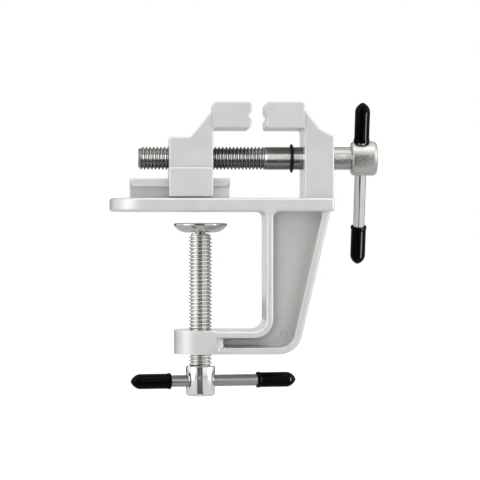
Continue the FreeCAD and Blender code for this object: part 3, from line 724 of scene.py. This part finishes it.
class VISE_OT_jaw_screw(bpy.types.Operator):
    """Makes the jaw screw with its thread, its hub and the retaining ring"""
    bl_idname = "vise.jaw_screw"
    bl_label = "Jaw Screw"

    def execute(self, context):
        sizes = context.scene.vise_sizes
        axis = Vector((0, 0, box_centre("jaw_screw").z))
        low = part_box("jaw_screw")[0]
        radius = box_radius("jaw_screw", "x")
        ring_low, ring_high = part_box("retaining_ring")
        ring_radius = box_radius("retaining_ring", "x")
        hub_low, hub_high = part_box("jaw_screw_hub")
        hub_radius = box_radius("jaw_screw_hub", "x")
        place = axis_matrix(axis, (1, 0, 0))
        tip = axis_matrix(axis + Vector((low.x, 0, 0)), (1, 0, 0))
        thread = threaded_rod("thread", tip, sizes.thread_length, radius, sizes.thread_runout,
                              materials()["rolled_thread_steel"])
        thread_end = low.x + sizes.thread_length
        groove = radius - sizes.groove_depth
        gap = sizes.running_gap
        shank_end = hub_low.x + sizes.tenon_length
        shank = lathe("shank", [
            (thread_end - OVERLAP, 0), (thread_end - OVERLAP, radius),
            (ring_low.x - gap, radius), (ring_low.x - gap, groove),
            (ring_high.x + gap, groove), (ring_high.x + gap, radius),
            (hub_low.x, radius), (hub_low.x, sizes.tenon_radius),
            (shank_end, sizes.tenon_radius), (shank_end, 0),
        ], place, sizes.sides)
        screw = joined("jaw_screw_rod", [thread, shank])
        smooth_by_angle(screw, THREAD_SHARP, (1, 0, 0))
        finish_piece(screw, "rolled_thread_steel", "screw_steel", "jaw_screw", "jaw_screw")

        bar_axis = JOINTS["jaw_handle_slide"]["axis"]
        bar_origin = Vector((box_centre("jaw_handle_bar").x, 0, axis.z))
        hub = lathe("jaw_screw_hub_turned", rounded([
            (hub_low.x, 0), (hub_low.x, hub_radius, sizes.jaw_hub_inner_round),
            (hub_high.x, hub_radius, sizes.jaw_hub_outer_round), (hub_high.x, 0),
        ], HUB_ARC_STEPS), place, sizes.sides)
        drilled(hub, cross_cutter(hub_radius, bar_origin, bar_axis))
        smooth_by_angle(hub)
        finish_piece(hub, "zinc_plated_hub", "plated_steel", "jaw_screw", "jaw_screw_hub")

        ring = split_ring("retaining_ring_wire", place, (ring_low.x + ring_high.x) / 2,
                          groove + gap, ring_radius, (ring_high.x - ring_low.x) / 2)
        finish_piece(ring, "black_oxide_wire", "blackened_steel", "screw_retainer",
                     "retaining_ring")
        return {"FINISHED"}


def split_ring(name, place, along, inner, outer, half_width):
    """A wire of oval section bent to an open ring, its ends rounded."""
    steps, section = 72, 16
    middle, half_height = (inner + outer) / 2, (outer - inner) / 2
    opening = math.radians(16)  # between the wire's two ends
    vertices, faces = [], []
    for i in range(steps + 1):
        angle = opening / 2 + (2 * math.pi - opening) * i / steps
        end = min(i, steps - i)
        shrink = math.sin(math.pi / 2 * min(1.0, (end + 0.6) / 2.5))
        for k in range(section):
            turn = 2 * math.pi * k / section
            radius = middle + half_height * shrink * math.sin(turn)
            point = Vector((radius * math.cos(angle), radius * math.sin(angle),
                            along + half_width * shrink * math.cos(turn)))
            vertices.append(place @ point)
    for i in range(steps):
        for k in range(section):
            turn = (k + 1) % section
            faces.append((i * section + k, i * section + turn,
                          (i + 1) * section + turn, (i + 1) * section + k))
    faces.append(tuple(range(section)))
    faces.append(tuple(range(steps * section, (steps + 1) * section)))
    ring = new_mesh_object(name, vertices, faces)
    smooth_by_angle(ring, RING_SHARP)
    return ring


class VISE_OT_clamp_screw(bpy.types.Operator):
    """Makes the clamp screw with its thread, its hub and the dished pad"""
    bl_idname = "vise.clamp_screw"
    bl_label = "Clamp Screw"

    def execute(self, context):
        sizes = context.scene.vise_sizes
        radius = box_radius("clamp_screw", "z")
        hub_low, hub_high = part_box("clamp_screw_hub")
        hub_radius = box_radius("clamp_screw_hub", "z")
        pad_low, pad_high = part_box("clamp_pad")
        pad_radius = box_radius("clamp_pad", "z")
        thread_top = pad_low.z - sizes.neck_length
        down = axis_matrix((0, 0, thread_top), (0, 0, -1))
        rod_length = thread_top - hub_high.z
        thread = threaded_rod("thread", down, rod_length, radius, NO_RUNOUT,
                              materials()["bright_nickel_plate"])
        neck_top = pad_low.z + sizes.neck_reach
        neck = lathe("neck", [
            (thread_top - OVERLAP, 0), (thread_top - OVERLAP, sizes.neck_radius),
            (neck_top, sizes.neck_radius), (neck_top, 0),
        ], Matrix.Identity(4), NECK_SIDES)
        screw = joined("clamp_screw_rod", [thread, neck])
        smooth_by_angle(screw, THREAD_SHARP, (0, 0, 1))
        finish_piece(screw, "bright_nickel_plate", "nickel_plate", "clamp_screw", "clamp_screw")

        bar_axis = JOINTS["clamp_handle_slide"]["axis"]
        bar_origin = Vector((0, 0, box_centre("clamp_handle_bar").z))
        hub = lathe("clamp_screw_hub_turned", rounded([
            (hub_low.z, 0), (hub_low.z, hub_radius, sizes.clamp_hub_low_round),
            (hub_high.z, hub_radius, sizes.clamp_hub_high_round), (hub_high.z, 0),
        ], HUB_ARC_STEPS), Matrix.Identity(4), sizes.sides)
        drilled(hub, cross_cutter(hub_radius, bar_origin, bar_axis))
        smooth_by_angle(hub)
        finish_piece(hub, "bright_nickel_plate", "nickel_plate", "clamp_screw",
                     "clamp_screw_hub")

        socket_top = pad_low.z + sizes.pad_socket_depth
        pad = lathe("clamp_pad_dish", rounded([
            (pad_high.z, 0), (pad_high.z, pad_radius, sizes.pad_edge_round),
            (pad_high.z - sizes.pad_edge, pad_radius, sizes.pad_belly_round),
            (pad_low.z, sizes.pad_foot_radius, sizes.pad_foot_round),
            (pad_low.z, sizes.pad_socket_radius), (socket_top, sizes.pad_socket_radius),
            (socket_top, 0),
        ], HUB_ARC_STEPS), Matrix.Identity(4), sizes.sides)
        smooth_by_angle(pad)
        finish_piece(pad, "pressed_nickel_dish", "nickel_plate", "clamp_pad", "clamp_pad")
        return {"FINISHED"}


def cap(name, place, tip, mouth):
    """A dipped cap over a bar's end, from its rounded tip to its flared mouth."""
    sizes = bpy.context.scene.vise_sizes
    radius = sizes.bar_radius
    outside = radius + sizes.cap_wall
    rim = outside + sizes.cap_flare
    outwards = 1 if tip > mouth else -1
    bottom = tip - outwards * sizes.cap_end
    profile = [(bottom, 0), (bottom, radius)]
    profile += rounded([
        (mouth + outwards * CAP_LEAD_IN, radius),
        (mouth, radius + CAP_MOUTH_ROUND, CAP_MOUTH_ROUND), (mouth, rim, CAP_LIP_ROUND),
        (mouth + outwards * CAP_LIP, rim, CAP_LIP_ROUND),
        (mouth + outwards * CAP_SLOPE_END, outside, CAP_SLOPE_ROUND),
        (tip - outwards * (sizes.cap_dome + CAP_STRAIGHT), outside),
    ])
    for i in range(DOME_STEPS + 1):
        turn = math.pi / 2 * i / DOME_STEPS
        profile.append((tip - outwards * sizes.cap_dome * (1 - math.sin(turn)),
                        outside * max(0.0, math.cos(turn)) ** DOME_POINT))
    piece = lathe(name, profile, place, BAR_SIDES)
    smooth_by_angle(piece, CAP_SHARP)
    return piece


def handle(name, joint, body, caps, steel):
    """A bar with the caps on its ends, from the CAD pieces' own lengths."""
    sizes = bpy.context.scene.vise_sizes
    axis = JOINTS[joint]["axis"]
    origin = box_centre(f"{name}_bar")
    place = axis_matrix(origin, axis)
    low, high = span(f"{name}_bar", origin, axis)
    radius, bevel = sizes.bar_radius, sizes.bar_bevel
    bar = lathe(f"{name}_rod", rounded([
        (low, 0), (low, radius, bevel), (high, radius, bevel), (high, 0),
    ], BAR_ARC_STEPS), place, BAR_SIDES)
    smooth_by_angle(bar)
    finish_piece(bar, steel, "bar_steel", body, f"{name}_bar")
    for end in caps:
        node = f"{name}_cap_{end}"
        low, high = span(node, origin, axis)
        tip, mouth = (high, low) if high > 0 and abs(high) > abs(low) else (low, high)
        piece = cap(f"{name}_grip_{end}", place, tip, mouth)
        finish_piece(piece, "dip_moulded_vinyl", "cap_vinyl", body, node)


class VISE_OT_handles(bpy.types.Operator):
    """Makes both handles: a steel rod with a black cap on each end"""
    bl_idname = "vise.handles"
    bl_label = "Handles"

    def execute(self, context):
        handle("jaw_handle", "jaw_handle_slide", "jaw_handle", ("top", "bottom"),
               "polished_steel_rod")
        handle("clamp_handle", "clamp_handle_slide", "clamp_handle", ("right", "left"),
               "drawn_steel_rod")
        return {"FINISHED"}


# ---- the stage ----

LOOK_AT = Vector((13.65 * MM, 0, -9.8 * MM))
CAMERA_TURN = math.radians(-2.75)
CAMERA_DISTANCE = 0.85
CAMERA_LENS = 184.9  # millimetres, on a sensor 36 mm wide
WORLD_FILL = 0.45
FLOOR_GLOW = 0.9
FLOOR_REACH = 3.0
FLOOR_Z = cad_bounds[0][2] - 38 * MM  # the vise hangs free, so its shadow stays soft


def area_light(name, place, width, height, watts, target=LOOK_AT):
    lamp = bpy.data.lights.new(name, "AREA")
    lamp.shape = "RECTANGLE"
    lamp.size = width
    lamp.size_y = height
    lamp.energy = watts
    light = bpy.data.objects.new(name, lamp)
    bpy.context.scene.collection.objects.link(light)
    light.location = place
    light.rotation_euler = (Vector(target) - Vector(place)).to_track_quat("-Z", "Y").to_euler()
    return light


def glint(name, place, width, height, watts, target, pieces):
    """A light that only some pieces mirror: those with one of the texts in their name."""
    light = area_light(name, place, width, height, watts, target)
    light.visible_diffuse = light.visible_camera = False
    receivers = bpy.data.collections.new(name)
    for piece in bpy.context.scene.objects:
        if any(text in piece.name for text in pieces):
            receivers.objects.link(piece)
    light.light_linking.receiver_collection = receivers


def lights():
    """Soft boxes round the vise, and the glints that draw its rims, caps and thread."""
    area_light("left_box", (-0.95, -0.45, 0.15), 0.6, 0.9, 2.0)
    area_light("right_box", (0.95, -0.25, 0.15), 0.6, 0.9, 2.2)
    area_light("top_box", (0.0, -0.3, 1.0), 1.2, 0.6, 2.3)
    front = area_light("front_box", (-0.1, -1.2, -0.06), 0.35, 0.35, 8.5)
    front.visible_glossy = False
    castings = ("frame_body", "sliding_jaw")
    glint("left_rim_glint", (-0.95, -0.35, 0.1), 0.7, 1.0, 1.7, LOOK_AT, castings)
    glint("right_rim_glint", (0.95, -0.35, 0.1), 0.7, 1.0, 2.8, LOOK_AT, castings)
    glint("top_rim_glint", (0.0, -0.35, 0.95), 1.4, 0.5, 2.0, LOOK_AT, castings)
    glint("cap_glint", (0.15, -0.05, -0.045), 0.035, 0.13, 0.6, (0.055, 0, 0), ("_grip_",))
    glint("screw_glint", (-0.275, -0.6, 0.08), 0.65, 0.8, 9.0, (-0.275, 0, 0.08),
          ("jaw_screw_rod",))


def camera_sees(tree):
    """1 for what the camera sees, itself or through a clear thing, and 0 for light and
    for reflections."""
    path = add(tree, "ShaderNodeLightPath").outputs
    return add(tree, "ShaderNodeMath", {0: path["Is Camera Ray"], 1: path["Is Transmission Ray"]},
               operation="MAXIMUM").outputs[0]


def white_world():
    """White where the camera or a reflection sees it, a plain fill elsewhere."""
    world = bpy.data.worlds.new("studio")
    world.use_nodes = True
    tree = world.node_tree
    tree.nodes.clear()
    path = add(tree, "ShaderNodeLightPath").outputs
    seen = add(tree, "ShaderNodeMath", {0: camera_sees(tree), 1: path["Is Glossy Ray"]},
               operation="MAXIMUM").outputs[0]
    white = add(tree, "ShaderNodeBackground", {"Color": (1, 1, 1, 1), "Strength": 1.0})
    fill = add(tree, "ShaderNodeBackground", {"Color": (1, 1, 1, 1), "Strength": WORLD_FILL})
    mixed = add(tree, "ShaderNodeMixShader", {0: seen, 1: fill.outputs[0], 2: white.outputs[0]})
    add(tree, "ShaderNodeOutputWorld", {"Surface": mixed.outputs[0]})
    bpy.context.scene.world = world


def floor_material(colours):
    """Matte painted board: white to the camera, with the object's shadow kept."""
    material = bpy.data.materials.new("painted_board_floor")
    material.use_nodes = True
    tree = material.node_tree
    tree.nodes.clear()
    paint = add(tree, "ShaderNodeBsdfDiffuse", {"Color": (*colours.floor, 1)})
    faint = add(tree, "ShaderNodeBsdfDiffuse", {"Color": (*colours.floor_shadow, 1)})
    glow = add(tree, "ShaderNodeEmission", {"Color": (1, 1, 1, 1), "Strength": FLOOR_GLOW})
    lit = add(tree, "ShaderNodeAddShader", {0: faint.outputs[0], 1: glow.outputs[0]})
    mixed = add(tree, "ShaderNodeMixShader", {0: camera_sees(tree), 1: paint.outputs[0],
                                              2: lit.outputs[0]})
    add(tree, "ShaderNodeOutputMaterial", {"Surface": mixed.outputs[0]})
    return material


def card_material(colours):
    """Dark felt, which bright metal mirrors as a band between the lights."""
    return new_material("dark_felt_card", colours.card, Roughness=0.9,
                        Specular_IOR_Level=0.1)[0]


def plane(name, corners):
    return new_mesh_object(name, corners, [tuple(range(len(corners)))])


def standing_card(name, left, right, low, high, y):
    return plane(name, [(left, y, low), (right, y, low), (right, y, high), (left, y, high)])


def lying_card(name, height, far, near):
    """A card on the floor, from its far and near edges: each is Y, left and right."""
    z = FLOOR_Z + height
    return plane(name, [(far[1], far[0], z), (far[2], far[0], z),
                        (near[2], near[0], z), (near[1], near[0], z)])


def cards(colours):
    """Dark cards that only reflections see: in front and below for the screws and hubs,
    and behind, at the sides and above, for the outlines."""
    made = [
        standing_card("dark_card", -0.74, 0.4, -0.09, 0.7, -1.4),
        lying_card("dark_mat", 1 * MM, (-1.4, -0.74, 0.4), (-0.12, -0.065, 0.035)),
        lying_card("dark_slip", 2 * MM, (-0.4, -0.075, 0.095), (-0.07, 0.022, 0.060)),
        standing_card("dark_flag", 0.2, 0.95, -0.1, 0.6, 0.8),
        standing_card("dark_flag_left", -0.95, -0.2, -0.1, 0.6, 0.8),
        standing_card("dark_banner", -0.2, 0.2, 0.17, 0.8, 0.8),
    ]
    felt = card_material(colours)
    for card in made:
        card.data.materials.append(felt)
        card.visible_camera = card.visible_diffuse = card.visible_shadow = False
    return made


def camera():
    """A long lens at the height of the vise's middle, a little to its left."""
    lens = bpy.data.cameras.new("camera")
    lens.lens = CAMERA_LENS
    lens.sensor_width = 36.0
    lens.clip_start = 0.05
    made = bpy.data.objects.new("camera", lens)
    away = Vector((math.sin(CAMERA_TURN), -math.cos(CAMERA_TURN), 0))
    made.location = LOOK_AT + away * CAMERA_DISTANCE
    made.rotation_euler = (-away).to_track_quat("-Z", "Y").to_euler()
    bpy.context.scene.collection.objects.link(made)
    return made


class VISE_OT_stage(bpy.types.Operator):
    """Makes the floor, the dark cards, the lights and the camera"""
    bl_idname = "vise.stage"
    bl_label = "Stage"

    def execute(self, context):
        scene = context.scene
        colours = scene.vise_colours
        white_world()
        reach = FLOOR_REACH
        floor = plane("floor", [(-reach, -reach, FLOOR_Z), (reach, -reach, FLOOR_Z),
                                (reach, reach, FLOOR_Z), (-reach, reach, FLOOR_Z)])
        floor.data.materials.append(floor_material(colours))
        cards(colours)
        lights()
        scene.camera = camera()
        scene.view_settings.view_transform = "Standard"
        return {"FINISHED"}


class VISE_PT_pieces(bpy.types.Panel):
    """Lists the vise's pieces in the sidebar"""
    bl_idname = "VISE_PT_pieces"
    bl_label = "Bench Vise"
    bl_space_type = "VIEW_3D"
    bl_region_type = "UI"
    bl_category = "Vise"

    def draw(self, context):
        column = self.layout.column(align=True)
        for operator in OPERATORS:
            column.operator(operator.bl_idname)
        for group in (context.scene.vise_sizes, context.scene.vise_colours):
            box = self.layout.box()
            for name in group.bl_rna.properties.keys():
                if name not in ("rna_type", "name"):
                    box.prop(group, name)


OPERATORS = (VISE_OT_castings, VISE_OT_jaw_screw, VISE_OT_clamp_screw, VISE_OT_handles,
             VISE_OT_stage)
CLASSES = (ViseSizes, ViseColours, *OPERATORS, VISE_PT_pieces)


def register():
    for item in CLASSES:
        bpy.utils.register_class(item)
    bpy.types.Scene.vise_sizes = PointerProperty(type=ViseSizes)
    bpy.types.Scene.vise_colours = PointerProperty(type=ViseColours)


def unregister():
    del bpy.types.Scene.vise_colours
    del bpy.types.Scene.vise_sizes
    for item in reversed(CLASSES):
        bpy.utils.unregister_class(item)


def main():
    register()
    bpy.ops.vise.castings()
    bpy.ops.vise.jaw_screw()
    bpy.ops.vise.clamp_screw()
    bpy.ops.vise.handles()
    bpy.ops.vise.stage()


if __name__ == "__main__":
    main()
